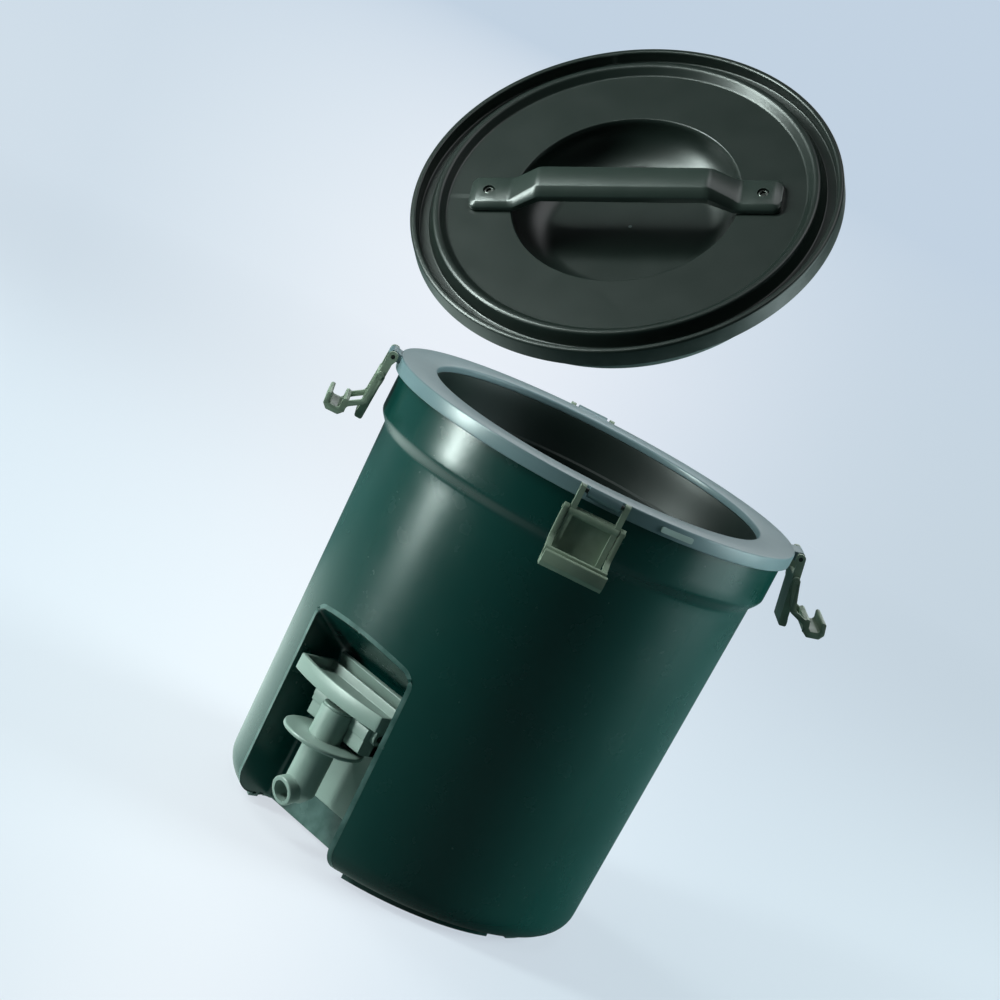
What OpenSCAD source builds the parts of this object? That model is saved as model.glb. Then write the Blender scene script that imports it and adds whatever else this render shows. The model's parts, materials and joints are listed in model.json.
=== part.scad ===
// Large insulated water jug with a lift-off lid, four draw latches and a push tap in a front niche.
// Millimetres, +Z up, origin at the centre of the base, the tap faces -Y.

/* [Jug] */

// Height of the rim's top face
rim_top = 308; // [240:1:360]
// Radius of the rim's band
rim_r = 146; // [120:0.5:170]
// Radius of the mouth
mouth_r = 119.5; // [95:0.5:140]
// Radius of the body where it would meet the floor
body_base_r = 128.5; // [110:0.5:150]
// Radius of the body just under the collar
body_top_r = 135.8; // [112:0.1:155]
// Radius of the collar under the rim
collar_r = 141.5; // [115:0.1:160]
// Height where the collar's cove starts
cove_z = 261; // [200:1:320]
// Wall of the outer shell
shell_wall = 2.6; // [2:0.1:4]
// Wall of the inner liner
liner_wall = 2.5; // [2:0.1:4]

/* [Niche] */

// Half the width of the niche
niche_half_w = 49; // [35:1:60]
// Distance of the niche's back wall from the jug's axis
niche_back = 84; // [70:1:110]
// Height of the back wall, where the roof starts
niche_back_h = 119; // [90:1:160]
// Rise of the roof for each millimetre towards the front
roof_slope = 0.6; // [0:0.05:1]

/* [Tap] */

// Distance of the tap's upright barrel from the jug's axis
tap_y = 116; // [105:1:125]
// Height of the shank that goes through the wall
shank_z = 84; // [70:1:95]
// Radius of the barrel
barrel_r = 11.5; // [9:0.5:15]
// Height of the pin that the paddle turns on
paddle_pin_z = 91; // [88:0.5:94]
// Distance of that pin from the jug's axis
paddle_pin_y = 104; // [100:0.5:108]

/* [Lid] */

// Radius of the lid's outer lip
lid_r = 136; // [120:0.5:150]
// Height of the lip
lip_h = 12; // [8:0.5:16]
// Depth of the plug under the lid
plug_depth = 28.5; // [15:0.5:40]
// Radius of the plug at its lower edge
plug_foot_r = 113; // [100:0.5:117]
// Radius of the hand well
well_r = 71.5; // [50:0.5:90]
// Depth of the hand well's floor below the lid's underside
well_floor = 17; // [10:0.5:22]
// Turn of the handle from the X axis
handle_turn = 42; // [0:0.5:180]
// How far the stored lid is tipped back from its shut place
lid_tip = 50.5; // [0:0.5:60]
// Turn of the tipping direction from the tap's side
tip_turn = 6.5; // [-45:0.5:45]
// Distance of the tipping axis from the jug's axis
tip_arm = 218.5; // [180:0.5:300]
// Depth of the tipping axis below the shut lid's underside
tip_drop = 30; // [0:1:80]

/* [Latches] */

// Angle at which each latch lever stands out from the wall
lever_flare = [3, 11, 3, 3]; // [0:1:25]
// Swing of each hook between over the lip and hanging
hook_swing = [183, 176, 183, 183]; // [150:1:190]
// Distance of the levers' pivot from the jug's axis
pivot_r = 150.5; // [148:0.5:156]
// Height of that pivot below the rim's top face
pivot_drop = 2.5; // [2:0.5:10]

/* [Hidden] */

green = [0.00, 0.26, 0.22];
rim_grey = [0.42, 0.50, 0.49];
lid_grey = [0.17, 0.22, 0.20];
latch_grey = [0.26, 0.31, 0.26];
tap_grey = [0.60, 0.67, 0.63];
foam_yellow = [0.86, 0.80, 0.62];
steel = [0.62, 0.63, 0.64];
seal_grey = [0.55, 0.58, 0.58];

latch_angle = [-45, 45, 135, 225];
shell_floor = 4;            // the shell's underside, above the foot ring
base_round = 17;            // rounding of the shell's bottom edge
cove_h = 11;
foot_r = 111.6;
band_bottom = rim_top - 9.3;
skirt_wall = 3;
flange_t = 4.5;
shell_top = rim_top - flange_t - 0.3;
liner_floor = 52;
liner_base_r = 112;
seat_gap = 0.3;             // between the shut lid and the rim
pivot_z = rim_top - pivot_drop;
hook_pin_r = pivot_r + 1; // distance of the hook's pin from the jug's axis
hook_pin_z = pivot_z - 15;
lever_half_w = 17;
hook_half_w = 21;
round_fn = 96;
big_fn = 180;

function arc(c, r, from, to, steps) =
    [for (i = [0:steps]) c + r * [cos(from + (to - from) * i / steps), sin(from + (to - from) * i / steps)]];

function body_r(z) = body_base_r + (body_top_r - body_base_r) * z / cove_z;

// The body's outline set in by g, from the bottom's edge up to height top
function body_outline(g, top) = concat(
    arc([body_r(shell_floor + base_round) - base_round, shell_floor + base_round], base_round - g, -90, 0, 10),
    [for (i = [0:8]) [body_top_r - g + (collar_r - body_top_r) * (1 - cos(22.5 * i)) / 2, cove_z + cove_h * i / 8]],
    [[collar_r - g, top]]);

module revolve(points) {
    rotate_extrude($fn = big_fn) polygon(points);
}

module along_y(from, to, r, z, x = 0) {
    translate([x, from, z]) rotate([-90, 0, 0]) cylinder(r = r, h = to - from, $fn = round_fn);
}

// The niche, grown by g on every side
module niche_block(g) {
    front = 170;
    top = niche_back_h + g * sqrt(1 + roof_slope * roof_slope);
    translate([-niche_half_w - g, 0, 0]) rotate([90, 0, 90])
        linear_extrude(2 * (niche_half_w + g))
            polygon([[-niche_back + g, -5], [-niche_back + g, top + roof_slope * g * -1],
                [-front, top + roof_slope * (front - niche_back)], [-front, -5]]);
}

// ---- jug ----

module outer_shell() {
    color(green) difference() {
        revolve(concat([[0, shell_floor]], body_outline(0, shell_top), [[0, shell_top]]));
        difference() {
            revolve(concat([[0, shell_floor + shell_wall]], body_outline(shell_wall, shell_top + 1),
                [[0, shell_top + 1]]));
            niche_block(shell_wall);
        }
        niche_block(0);
        difference() {
            cylinder(r = foot_r + 0.4, h = 2 * (shell_floor + shell_wall), center = true, $fn = big_fn);
            niche_block(shell_wall);
        }
        along_y(-niche_back - 1, -niche_back + shell_wall + 1, 9.6, shank_z);
    }
}

module base_pan() {
    foot_w = 7.6;
    pan_z = shell_floor - 0.6;
    notch_w = 20;
    centre_r = 32;
    color(green) difference() {
        revolve([[0, 0], [centre_r, 0], [centre_r + 1.2, pan_z],
            [foot_r - foot_w, pan_z], [foot_r - foot_w, 0], [foot_r, 0],
            [foot_r, shell_floor + shell_wall + 0.3], [foot_r + 2, shell_floor + shell_wall + 0.3],
            [foot_r + 2, shell_floor + shell_wall + 2.3], [0, shell_floor + shell_wall + 2.3]]);
        niche_block(shell_wall + 0.3);
        for (turn = [0, 90, 180])
            rotate([0, 0, turn]) translate([foot_r - foot_w - 1, -notch_w / 2, -1])
                cube([foot_w + 4, notch_w, shell_floor + 1]);
    }
}

function liner_outline(g) = concat(
    [[0, liner_floor - g]],
    arc([liner_base_r - 9, liner_floor + 9], 9 + g, -90, 0, 6),
    [[mouth_r + 3 + g, rim_top - flange_t - 0.1]]);

module insulation_foam() {
    gap = 0.5;
    bottom = shell_floor + shell_wall + 2.8;
    color(foam_yellow) difference() {
        intersection() {
            revolve(concat([[0, shell_floor + shell_wall + gap]],
                body_outline(shell_wall + gap, rim_top - 12), [[0, rim_top - 12]]));
            translate([-200, -200, bottom]) cube([400, 400, 400]);
        }
        niche_block(shell_wall + gap);
        difference() {
            revolve(concat(liner_outline(gap), [[mouth_r + 3 + gap, rim_top], [0, rim_top]]));
            niche_block(10);
        }
        along_y(-niche_back, -niche_back + 15, 10.5, shank_z);
    }
}

module inner_liner() {
    color(rim_grey) difference() {
        difference() {
            revolve(concat(liner_outline(0), [[0, rim_top - flange_t - 0.1]]));
            niche_block(10.5);
        }
        difference() {
            revolve(concat([[0, liner_floor + liner_wall]],
                arc([liner_base_r - 9, liner_floor + 9], 9 - liner_wall, -90, 0, 6),
                [[mouth_r, rim_top - flange_t - 0.1], [mouth_r, rim_top], [0, rim_top]]));
            niche_block(13);
        }
        along_y(-niche_back + 8, -niche_back + 16, 9.4, shank_z);
    }
}

module rim_ring() {
    color(rim_grey) difference() {
        union() {
            revolve([[mouth_r, rim_top - flange_t], [rim_r - skirt_wall, rim_top - flange_t],
                [rim_r - skirt_wall, band_bottom], [rim_r, band_bottom], [rim_r, rim_top - 1.6],
                [rim_r - 1.6, rim_top], [mouth_r + 1.2, rim_top], [mouth_r, rim_top - 1.8]]);
            for (turn = latch_angle) rotate([0, 0, turn - 90]) {
                translate([-11, rim_r - 2, pivot_z - 3]) cube([22, pivot_r - rim_r + 2, 6]);
                translate([-11, pivot_r, pivot_z]) rotate([0, 90, 0]) cylinder(r = 3.6, h = 22, $fn = 48);
            }
        }
        for (turn = latch_angle) rotate([0, 0, turn - 90])
            translate([-12, pivot_r, pivot_z]) rotate([0, 90, 0]) cylinder(r = 1.58, h = 24, $fn = 48);
    }
}

// ---- latches ----

module x_rod(r, half, y, z) {
    translate([-half, y, z]) rotate([0, 90, 0]) cylinder(r = r, h = 2 * half, $fn = 48);
}

// A side outline of radius and height, drawn out along the latch's width from x = from to x = to
module side_plate(from, to, points) {
    translate([from, 0, 0]) rotate([90, 0, 90]) linear_extrude(to - from) polygon(points);
}

module at_latch(i) {
    rotate([0, 0, latch_angle[i] - 90]) children();
}

module at_lever(i) {
    at_latch(i) translate([0, pivot_r, pivot_z]) rotate([lever_flare[i], 0, 0])
        translate([0, -pivot_r, -pivot_z]) children();
}

module at_hook(i) {
    at_lever(i) translate([0, hook_pin_r, hook_pin_z]) rotate([-hook_swing[i], 0, 0])
        translate([0, -hook_pin_r, -hook_pin_z]) children();
}

module latch_pivot_pins() {
    color(steel) for (i = [0:3]) at_latch(i) x_rod(1.5, lever_half_w, pivot_r, pivot_z);
}

module latch_lever(i) {
    back = pivot_r - 1.9;
    front = pivot_r + 1.7;
    prong_w = 4.5;
    foot = pivot_z - 46.5;
    color(latch_grey) at_lever(i) difference() {
        union() {
            translate([-lever_half_w, back, foot]) cube([2 * lever_half_w, front - back, 35]);
            translate([-lever_half_w, back, foot]) cube([2 * lever_half_w, front - back + 2.2, 2.6]);
            for (side = [-1, 1]) translate([side * (lever_half_w - prong_w / 2), 0, 0]) {
                translate([-prong_w / 2, back, foot + 34]) cube([prong_w, front - back, 12.5]);
                x_rod(3.4, prong_w / 2, pivot_r, pivot_z);
            }
            x_rod(2.9, lever_half_w, hook_pin_r, hook_pin_z);
        }
        x_rod(1.58, lever_half_w + 1, pivot_r, pivot_z);
        x_rod(1.45, lever_half_w + 1, hook_pin_r, hook_pin_z);
    }
}

module hook_pin(i) {
    color(steel) at_lever(i) x_rod(1.4, hook_half_w + 0.6, hook_pin_r, hook_pin_z);
}

// Drawn over the lid's lip, as when shut
module latch_hook(i) {
    arm_w = 3.4;
    lip_top = rim_top + seat_gap + lip_h;
    inner = lid_r + 0.7;
    outer = inner + 3.9;
    bridge = lip_top + 0.7;
    top = bridge + 4.3;
    tip = lid_r - 10.4;
    color(latch_grey) at_hook(i) difference() {
        union() {
            for (side = [-1, 1]) translate([side * (hook_half_w - arm_w / 2), 0, 0]) {
                side_plate(-arm_w / 2, arm_w / 2, [[hook_pin_r - 2.6, hook_pin_z],
                    [hook_pin_r + 2.8, hook_pin_z], [rim_r + 5.6, rim_top + 2.6], [outer, rim_top + 10],
                    [outer, top - 3], [inner, top - 3], [inner, rim_top + 8.4],
                    [rim_r + 1.6, rim_top + 1.2]]);
                x_rod(3.4, arm_w / 2, hook_pin_r, hook_pin_z);
            }
            side_plate(-hook_half_w, hook_half_w, [[inner, bridge - 7], [outer, bridge - 7],
                [outer, top - 3], [outer - 3, top], [tip + 3, top], [tip, top - 3],
                [tip, bridge - 7.4], [tip + 3, bridge - 7.4], [tip + 3, bridge], [inner, bridge]]);
        }
        x_rod(1.46, hook_half_w + 1, hook_pin_r, hook_pin_z);
    }
}

module latch_lever_front_right() { latch_lever(0); }
module latch_lever_back_right() { latch_lever(1); }
module latch_lever_back_left() { latch_lever(2); }
module latch_lever_front_left() { latch_lever(3); }
module hook_pin_front_right() { hook_pin(0); }
module hook_pin_back_right() { hook_pin(1); }
module hook_pin_back_left() { hook_pin(2); }
module hook_pin_front_left() { hook_pin(3); }
module latch_hook_front_right() { latch_hook(0); }
module latch_hook_back_right() { latch_hook(1); }
module latch_hook_back_left() { latch_hook(2); }
module latch_hook_front_left() { latch_hook(3); }

// ---- tap ----

bore_r = 8;
seat_z = 62;
barrel_top = 94;
nozzle_drop = 20;

module tap_backplate() {
    plate_back = niche_back + 0.3;
    color(tap_grey) difference() {
        translate([-40, 0, 0]) rotate([90, 0, 90]) linear_extrude(80)
            polygon([[-plate_back, 26], [-plate_back - 2.7, 26], [-plate_back - 2.7, 102],
                [-plate_back - 9.4, 117.6], [-plate_back - 6.6, 119], [-plate_back, 103]]);
        along_y(-niche_back - 10, -niche_back + 1, 9.4, shank_z);
    }
}

module tap_body() {
    ear_from = 11;
    ear_to = 27.4;
    color(tap_grey) difference() {
        union() {
            translate([0, -tap_y, 0]) rotate_extrude($fn = round_fn)
                polygon(concat([[0, 25]], arc([0, 36.5], barrel_r, -80, 0, 8), [[barrel_r, barrel_top], [0, barrel_top]]));
            translate([0, -tap_y, 36]) rotate([90 + nozzle_drop, 0, 0]) cylinder(r = 10, h = 15.5, $fn = round_fn);
            along_y(-tap_y, -niche_back - 4, 9.8, shank_z);
            along_y(-niche_back - 6, -niche_back - 3.2, 16, shank_z);
            along_y(-niche_back - 4, -61, 9, shank_z);
            for (side = [-1, 1])
                translate([side > 0 ? ear_from : -ear_to, -paddle_pin_y - 8, 76])
                    cube([ear_to - ear_from, 16, 19]);
            translate([-ear_to, -100, 76]) cube([2 * ear_to, 5, 16]);
        }
        translate([0, -tap_y, 37]) cylinder(r = bore_r, h = seat_z - 37, $fn = round_fn);
        translate([0, -tap_y, seat_z - 1]) cylinder(r = 5, h = 4, $fn = round_fn);
        translate([0, -tap_y, seat_z + 2]) cylinder(r = bore_r, h = 40, $fn = round_fn);
        translate([0, -tap_y, 36]) rotate([90 + nozzle_drop, 0, 0]) cylinder(r = 7, h = 40, $fn = round_fn);
        along_y(-tap_y, -50, 6, shank_z);
        x_rod(2.06, ear_to + 1, -paddle_pin_y, paddle_pin_z);
    }
}

module tap_guard_ring() {
    color(tap_grey) difference() {
        translate([0, -tap_y, 70]) cylinder(r = 28.6, h = 3, $fn = big_fn);
        translate([0, -tap_y, 69]) cylinder(r = barrel_r + 0.1, h = 5, $fn = round_fn);
        along_y(-niche_back - 6.3, -niche_back, 16.3, shank_z);
    }
}

module tap_bonnet() {
    color(tap_grey) translate([0, -tap_y, 0]) difference() {
        union() {
            translate([0, 0, barrel_top - 7]) cylinder(r = bore_r - 0.1, h = 8, $fn = round_fn);
            translate([0, 0, barrel_top + 0.1]) cylinder(r = barrel_r - 0.5, h = 1.6, $fn = round_fn);
        }
        cylinder(r = 2.5, h = 200, $fn = 48);
    }
}

module tap_stem() {
    color(steel) translate([0, -tap_y, 0]) union() {
        translate([0, 0, seat_z - 5]) cylinder(r = 2, h = 42.6, $fn = 48);
        translate([0, 0, 81]) cylinder(r = 5.5, h = 2, $fn = 48);
    }
}

module tap_seal() {
    color(seal_grey) translate([0, -tap_y, seat_z - 3.5]) difference() {
        cylinder(r = 7, h = 3, $fn = 48);
        translate([0, 0, -1]) cylinder(r = 2.1, h = 5, $fn = 48);
    }
}

module tap_spring() {
    coils = 6;
    pitch = 3.02;
    color(steel) for (i = [0:coils - 1])
        translate([0, -tap_y, seat_z + 2.8 + i * pitch])
            rotate_extrude($fn = 48) translate([6.3, 0]) circle(r = 0.7, $fn = 16);
}

module ring_y(from, to, outer, inner, sides) {
    difference() {
        translate([0, from, shank_z]) rotate([-90, 0, 0]) cylinder(r = outer, h = to - from, $fn = sides);
        along_y(from - 1, to + 1, inner, shank_z);
    }
}

module tap_gasket() {
    color(seal_grey) ring_y(-niche_back + 13.3, -niche_back + 15.3, 14, 9.2, round_fn);
}

module tap_nut() {
    color(tap_grey) ring_y(-niche_back + 15.5, -niche_back + 21.5, 16, 9.1, 6);
}

// Wide paddle with a bowed front edge, and two lugs on its pin outside the ears
module tap_paddle() {
    half_w = 43;
    bow_r = 140;
    front = tap_y + 15;
    rear = niche_back + 10;
    bottom = 100;
    thick = 11;
    bow = asin(half_w / bow_r);
    color(tap_grey) difference() {
        union() {
            translate([0, 0, bottom]) linear_extrude(thick)
                polygon(concat(arc([0, -front + bow_r], bow_r, 270 - bow, 270 + bow, 12),
                    [[half_w, -rear], [-half_w, -rear]]));
            for (side = [-1, 1])
                translate([side * 30.2 - 2.2, -paddle_pin_y - 5, paddle_pin_z - 5])
                    cube([4.4, 10, bottom - paddle_pin_z + 6]);
        }
        x_rod(2.06, half_w, -paddle_pin_y, paddle_pin_z);
    }
}

module tap_paddle_pin() {
    color(steel) x_rod(2, 33, -paddle_pin_y, paddle_pin_z);
}

// ---- lid, drawn shut with its underside at z = 0 ----

flat_z = 8;
plug_r = 116.5;
screw_x = 86.5;
lid_wall = 2.6;

module at_lid() {
    tip_dir = [cos(tip_turn - 90), sin(tip_turn - 90), 0];
    corner = tip_arm * tip_dir + [0, 0, rim_top + seat_gap - tip_drop];
    translate(corner) rotate(a = lid_tip, v = [-tip_dir[1], tip_dir[0], 0]) translate(-corner)
        translate([0, 0, rim_top + seat_gap]) rotate([0, 0, handle_turn]) children();
}

// The hand well's curve from its edge down to its floor, set out by g
function well_curve(g, from) =
    [for (i = [0:10]) let (t = from + (90 - from) * i / 10)
        [well_r - 23 + (23 + g) * cos(t), flat_z - 1 - (well_floor + flat_z - 1 + g) * sin(t)]];

function reversed(points) = [for (i = [len(points) - 1:-1:0]) points[i]];

module lid_cover() {
    bead_out = lid_r - 12;
    bead_in = lid_r - 22;
    bead_top = lip_h + 1;
    lip_in = lid_r - 4;
    color(lid_grey) at_lid() difference() {
        union() {
            revolve(concat(
                [[lid_r, 0], [lid_r, lip_h - 1.4], [lid_r - 1.2, lip_h], [lip_in + 0.8, lip_h],
                [lip_in, lip_h - 0.8], [lip_in, 4.8], [lip_in - 1, 4], [bead_out + 1, 4], [bead_out, 5]],
                arc([bead_out - 3, bead_top - 3], 3, 0, 90, 5),
                arc([bead_in + 3, bead_top - 3], 3, 90, 180, 5),
                [[bead_in, flat_z], [well_r + 1.2, flat_z]],
                well_curve(0, 0),
                [[0, -well_floor], [0, -well_floor - lid_wall]],
                reversed(well_curve(lid_wall, 6)),
                [[bead_in - 2, flat_z - lid_wall], [bead_in, bead_top - lid_wall],
                [bead_out - 2.8, bead_top - lid_wall], [bead_out - 2.8, 0]]));
            for (side = [-1, 1]) translate([side * screw_x, 0, -1]) cylinder(r = 5.5, h = 7.5, $fn = 48);
        }
        for (side = [-1, 1]) translate([side * screw_x, 0, 0.9]) cylinder(r = 2.1, h = 9, $fn = 48);
        translate([-10.2, 45.3, -well_floor - 4]) cube([14.4, 6.4, 14]);
        revolve([[lid_r - 13, -1], [lid_r - 8, -1], [lid_r - 8, 1.2], [lid_r - 13, 1.2]]);
    }
}

module lid_plug() {
    color(rim_grey) at_lid() revolve([[0, -plug_depth], [plug_foot_r - 4, -plug_depth],
        [plug_foot_r, -plug_depth + 4], [plug_r, 1.6], [lid_r - 15.2, 1.6], [lid_r - 15.2, 4.2],
        [plug_r - 2.4, 4.2], [plug_foot_r - 2.4, -plug_depth + 5], [plug_foot_r - 5, -plug_depth + 2.4],
        [0, -plug_depth + 2.4]]);
}

module lid_foam() {
    edge = plug_foot_r - 2.9;
    color(foam_yellow) at_lid() difference() {
        revolve(concat([[0, -plug_depth + 2.9], [edge - 2.5, -plug_depth + 2.9], [edge, -plug_depth + 5.4],
            [plug_r - 2.9, 4.6], [well_r + 3.8, 4.6]], well_curve(lid_wall + 0.6, 6),
            [[0, -well_floor - lid_wall - 0.6]]));
        for (side = [-1, 1]) translate([side * screw_x, 0, -2]) cylinder(r = 6.2, h = 9, $fn = 48);
    }
}

module lid_gasket() {
    color(seal_grey) at_lid() revolve([[lid_r - 12.9, -0.22], [lid_r - 8.1, -0.22],
        [lid_r - 8.1, 1.1], [lid_r - 12.9, 1.1]]);
}

module lid_handle() {
    half_l = 98.5;
    half_w = 13.5;
    tab_top = flat_z + 6.1;
    bar_top = flat_z + 18;
    r = 5;
    color(lid_grey) at_lid() difference() {
        intersection() {
            translate([0, half_w, 0]) rotate([90, 0, 0]) linear_extrude(2 * half_w)
                polygon([[-half_l, flat_z + 0.1], [-69, flat_z + 0.1], [-52, bar_top - 10],
                    [52, bar_top - 10], [69, flat_z + 0.1], [half_l, flat_z + 0.1], [half_l, tab_top],
                    [71.3, tab_top], [53.5, bar_top], [-53.5, bar_top], [-71.3, tab_top], [-half_l, tab_top]]);
            linear_extrude(60) polygon(concat(
                arc([half_l - r, half_w - r], r, 0, 90, 6), arc([r - half_l, half_w - r], r, 90, 180, 6),
                arc([r - half_l, r - half_w], r, 180, 270, 6), arc([half_l - r, r - half_w], r, 270, 360, 6)));
        }
        for (side = [-1, 1]) translate([side * screw_x, 0, 0]) {
            cylinder(r = 2.4, h = 40, $fn = 48);
            translate([0, 0, flat_z + 3.1]) cylinder(r = 3.7, h = 40, $fn = 48);
        }
    }
}

module handle_screws() {
    color(steel) at_lid() for (side = [-1, 1]) translate([side * screw_x, 0, 0]) union() {
        translate([0, 0, 1.5]) cylinder(r = 2, h = 11, $fn = 48);
        translate([0, 0, flat_z + 3.2]) cylinder(r = 3.4, h = 2.2, $fn = 48);
    }
}

module lid_vent_cap() {
    color(seal_grey) at_lid() translate([-10, 45.5, -well_floor - 2.4]) cube([14, 6, 5.8]);
}

outer_shell();
base_pan();
insulation_foam();
inner_liner();
rim_ring();
latch_pivot_pins();
latch_lever_front_right();
latch_lever_back_right();
latch_lever_back_left();
latch_lever_front_left();
hook_pin_front_right();
hook_pin_back_right();
hook_pin_back_left();
hook_pin_front_left();
latch_hook_front_right();
latch_hook_back_right();
latch_hook_back_left();
latch_hook_front_left();
tap_backplate();
tap_body();
tap_guard_ring();
tap_bonnet();
tap_stem();
tap_seal();
tap_spring();
tap_gasket();
tap_nut();
tap_paddle();
tap_paddle_pin();
lid_cover();
lid_plug();
lid_foam();
lid_gasket();
lid_handle();
handle_screws();
lid_vent_cap();
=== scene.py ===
"""The large water jug's looks: finished meshes, materials, camera and studio, around the CAD frame."""

import json
import math

import bmesh
import bpy
from mathutils import Matrix, Vector


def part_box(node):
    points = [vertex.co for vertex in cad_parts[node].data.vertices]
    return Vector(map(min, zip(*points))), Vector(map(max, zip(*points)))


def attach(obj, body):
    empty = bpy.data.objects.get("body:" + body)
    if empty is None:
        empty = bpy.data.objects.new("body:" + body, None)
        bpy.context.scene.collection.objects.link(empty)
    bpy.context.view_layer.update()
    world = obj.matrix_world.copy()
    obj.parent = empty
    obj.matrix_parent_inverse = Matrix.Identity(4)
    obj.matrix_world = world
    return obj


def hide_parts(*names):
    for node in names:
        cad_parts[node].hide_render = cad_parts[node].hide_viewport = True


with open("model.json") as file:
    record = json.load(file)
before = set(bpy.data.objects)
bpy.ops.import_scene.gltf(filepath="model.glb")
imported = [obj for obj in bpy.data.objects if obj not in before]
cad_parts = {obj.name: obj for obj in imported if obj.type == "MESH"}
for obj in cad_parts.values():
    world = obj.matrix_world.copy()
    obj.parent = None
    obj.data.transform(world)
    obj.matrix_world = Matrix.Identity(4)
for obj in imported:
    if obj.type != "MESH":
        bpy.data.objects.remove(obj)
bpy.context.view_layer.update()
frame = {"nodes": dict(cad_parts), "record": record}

# ---- driving sizes, in millimetres: the CAD model's, but the lid's radius is 0.2 smaller ----

MM = 0.001
RIM_TOP = 308.0
RIM_R = 146.0
MOUTH_R = 119.5
BAND_BOTTOM = RIM_TOP - 9.3
BODY_BASE_R = 128.5
BODY_TOP_R = 135.8
COLLAR_R = 141.5
COVE_Z = 261.0
COVE_H = 11.0
SHELL_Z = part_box("outer_shell")[0][2] / MM
BASE_ROUND = 17.0
FOOT_R = 111.6
NICHE_HALF_W = 49.0
NICHE_BACK = 84.0
NICHE_BACK_H = 119.0
ROOF_SLOPE = 0.6
NICHE_CORNER = 8.0
LINER_FLOOR_R = 109.5
LINER_FLOOR_Z = 54.5
TAP_Y = 116.0
SHANK_Z = 84.0
BARREL_R = 11.5
BARREL_TOP = 94.0
PADDLE_PIN = (104.0, 91.0)
LID_R = 135.8
LIP_H = 12.0
PLUG_R = 116.5
PLUG_FOOT_R = 113.0
PLUG_DEPTH = 28.5
WELL_R = 71.5
WELL_FLOOR = 17.0
FLAT_Z = 8.0
SCREW_X = 86.5
HANDLE_TURN = 42.0
SEAT_Z = RIM_TOP + 0.3
LATCHES = ("front_right", "back_right", "back_left", "front_left")
JOINTS = {joint["name"]: joint for joint in frame["record"]["behaviour"]["joints"]}


# ---- outlines and shapes: a shape is (points in millimetres, faces) ----


def rounded(corners, steps=5, closed=True):
    """The outline through (x, y) or (x, y, radius) corners, with arcs at those that have a radius."""
    points = []
    count = len(corners)
    for i, corner in enumerate(corners):
        here = Vector(corner[:2])
        if len(corner) == 2 or (not closed and i in (0, count - 1)):
            points.append(tuple(here))
            continue
        back = Vector(corners[i - 1][:2]) - here
        ahead = Vector(corners[(i + 1) % count][:2]) - here
        half = back.angle(ahead) / 2
        reach = min(corner[2] / math.tan(half), 0.49 * min(back.length, ahead.length))
        radius = reach * math.tan(half)
        centre = here + (back.normalized() + ahead.normalized()).normalized() * radius / math.sin(half)
        start = here + back.normalized() * reach - centre
        turn = start.angle_signed(here + ahead.normalized() * reach - centre)
        for k in range(steps + 1):
            points.append(tuple(centre + Matrix.Rotation(-turn * k / steps, 2) @ start))
    return points


def lathe(profile, steps=192, closed=True):
    """The (radius, height) profile turned about Z."""
    points, faces, rows = [], [], []
    for radius, height in profile:
        if radius < 1e-6:
            rows.append([len(points)] * steps)
            points.append((0, 0, height))
            continue
        rows.append(list(range(len(points), len(points) + steps)))
        for i in range(steps):
            angle = math.tau * i / steps
            points.append((radius * math.cos(angle), radius * math.sin(angle), height))
    for below, above in zip(rows, rows[1:] + rows[:1] if closed else rows[1:]):
        for i in range(steps):
            j = (i + 1) % steps
            face = list(dict.fromkeys([below[i], below[j], above[j], above[i]]))
            if len(face) > 2:
                faces.append(face)
    return points, faces


def loft(sections):
    """A closed skin through rings of points, each with as many points."""
    points = [p for section in sections for p in section]
    size = len(sections[0])
    faces = [list(range(size))[::-1], list(range(len(points) - size, len(points)))]
    for row in range(len(sections) - 1):
        for i in range(size):
            j = (i + 1) % size
            faces.append([row * size + i, row * size + j, (row + 1) * size + j, (row + 1) * size + i])
    return points, faces


def slab(outline, low, high, place="xy"):
    """An outline drawn out from low to high along the axis that place leaves out."""
    def at(p, depth):
        return {"xy": (p[0], p[1], depth), "yz": (depth, p[0], p[1]), "xz": (p[0], depth, p[1])}[place]
    return loft([[at(p, low) for p in outline], [at(p, high) for p in outline]])


def block(x0, x1, y0, y1, z0, z1):
    """A plain box."""
    return slab([(x0, y0), (x1, y0), (x1, y1), (x0, y1)], z0, z1)


def rod(radius, low, high, steps=48, axis="Z", at=(0, 0, 0)):
    """A round bar from low to high along an axis, through the point at."""
    turn = {
        "Z": Matrix(),
        "X": Matrix.Rotation(math.pi / 2, 4, "Y"),
        "Y": Matrix.Rotation(-math.pi / 2, 4, "X"),
    }
    bar = lathe([(0, low), (radius, low), (radius, high), (0, high)], steps, False)
    return moved(bar, Matrix.Translation(at) @ turn[axis])


def moved(shape, matrix):
    """The shape with a matrix put on its points."""
    return [tuple(matrix @ Vector(p)) for p in shape[0]], shape[1]


def together(*shapes):
    """Several shapes as one, not joined."""
    points, faces = [], []
    for shape in shapes:
        start = len(points)
        points += shape[0]
        faces += [[start + i for i in face] for face in shape[1]]
    return points, faces


# ---- objects ----


def object_of(name, shape):
    """A mesh object from a shape, with its faces turned outwards."""
    mesh = bpy.data.meshes.new(name)
    mesh.from_pydata([Vector(p) * MM for p in shape[0]], [], shape[1])
    work = bmesh.new()
    work.from_mesh(mesh)
    bmesh.ops.recalc_face_normals(work, faces=work.faces)
    work.to_mesh(mesh)
    work.free()
    obj = bpy.data.objects.new(name, mesh)
    bpy.context.collection.objects.link(obj)
    return obj


def applied(obj):
    """Turns the object's modifiers into its mesh."""
    graph = bpy.context.evaluated_depsgraph_get()
    mesh = bpy.data.meshes.new_from_object(obj.evaluated_get(graph))
    obj.modifiers.clear()
    obj.data = mesh
    return obj


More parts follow.
